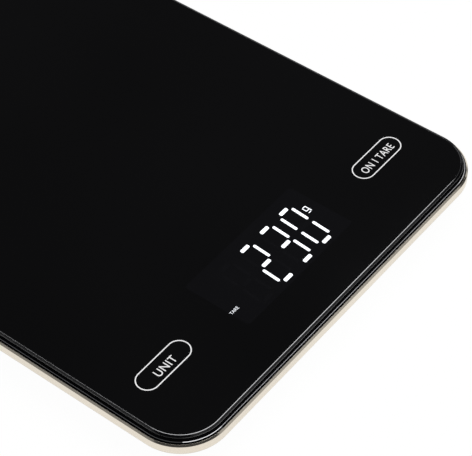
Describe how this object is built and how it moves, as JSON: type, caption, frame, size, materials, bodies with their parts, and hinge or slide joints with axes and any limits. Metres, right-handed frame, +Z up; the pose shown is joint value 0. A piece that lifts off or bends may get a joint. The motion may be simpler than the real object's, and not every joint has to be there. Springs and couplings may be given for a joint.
{
  "type": "kitchen scale",
  "caption": "Flat electronic kitchen scale: black glass platform on a load cell, display and touch keys at the front, champagne metal rim, shallow base, rubber feet and battery cover.",
  "frame": {"origin": "on the table under the middle of the scale", "axes": "+X along the front edge to the user's right, +Y from the front edge to the back, +Z up"},
  "size_m": [0.1636, 0.2236, 0.016],
  "materials": {
    "black_glass": "polished toughened glass, printed black underneath, so opaque",
    "champagne_metal": "champagne anodised, satin wall with a bright-cut chamfer",
    "foam_sheet": "double-sided foam tape",
    "black_plastic": "fine texture",
    "foot_rubber": "matt",
    "gauge_silicone": "matt potting",
    "conductive_foam": "conductive foam",
    "cell_aluminium": "milled",
    "steel": "nickel plated",
    "circuit_board": "green solder mask on glass fibre board",
    "red_lead": "insulated wire",
    "white_plastic": "moulded"
  },
  "bodies": {
    "base": {"base_rim": "champagne_metal", "base_tray": "black_plastic", "battery_lead": "red_lead", "cell_screw_1": "steel", "cell_screw_2": "steel", "coin_cell_left": "steel", "coin_cell_right": "steel", "foot_back_left": "foot_rubber", "foot_back_right": "foot_rubber", "foot_front_left": "foot_rubber", "foot_front_right": "foot_rubber", "gauge_cover": "gauge_silicone", "load_cell": "cell_aluminium", "load_cell_lead": "white_plastic", "rim_screw_1": "steel", "rim_screw_2": "steel", "rim_screw_3": "steel", "rim_screw_4": "steel", "rim_screw_5": "steel", "rim_screw_6": "steel", "side_contact_left": "steel", "side_contact_right": "steel", "upper_contact_left": "steel", "upper_contact_right": "steel"},
    "platform": {"battery_lead_connector": "white_plastic", "board_screw_1": "steel", "board_screw_2": "steel", "board_screw_3": "steel", "board_screw_4": "steel", "bonding_sheet": "foam_sheet", "cell_lead_connector": "white_plastic", "controller_chip": "black_plastic", "display_diffuser": "black_plastic", "display_module": "white_plastic", "glass_plate": "black_glass", "main_board": "circuit_board", "platform_screw_1": "steel", "platform_screw_2": "steel", "platform_spacer": "steel", "platform_tray": "black_plastic", "tare_touch_pad": "conductive_foam", "unit_touch_pad": "conductive_foam"},
    "battery_cover": {"battery_cover": "black_plastic"}
  },
  "joints": [
    {"name": "platform_travel", "type": "slide", "parent": "base", "child": "platform", "axis": [0, 0, -1], "range_m": [0, 0.0005], "stiffness_N_per_m": 98000, "deforming": ["load_cell"]},
    {"name": "battery_cover_hinge", "type": "hinge", "parent": "base", "child": "battery_cover", "pos_m": [0, 0.0641, 0.0016], "axis": [1, 0, 0], "range_deg": [0, 100]}
  ]
}
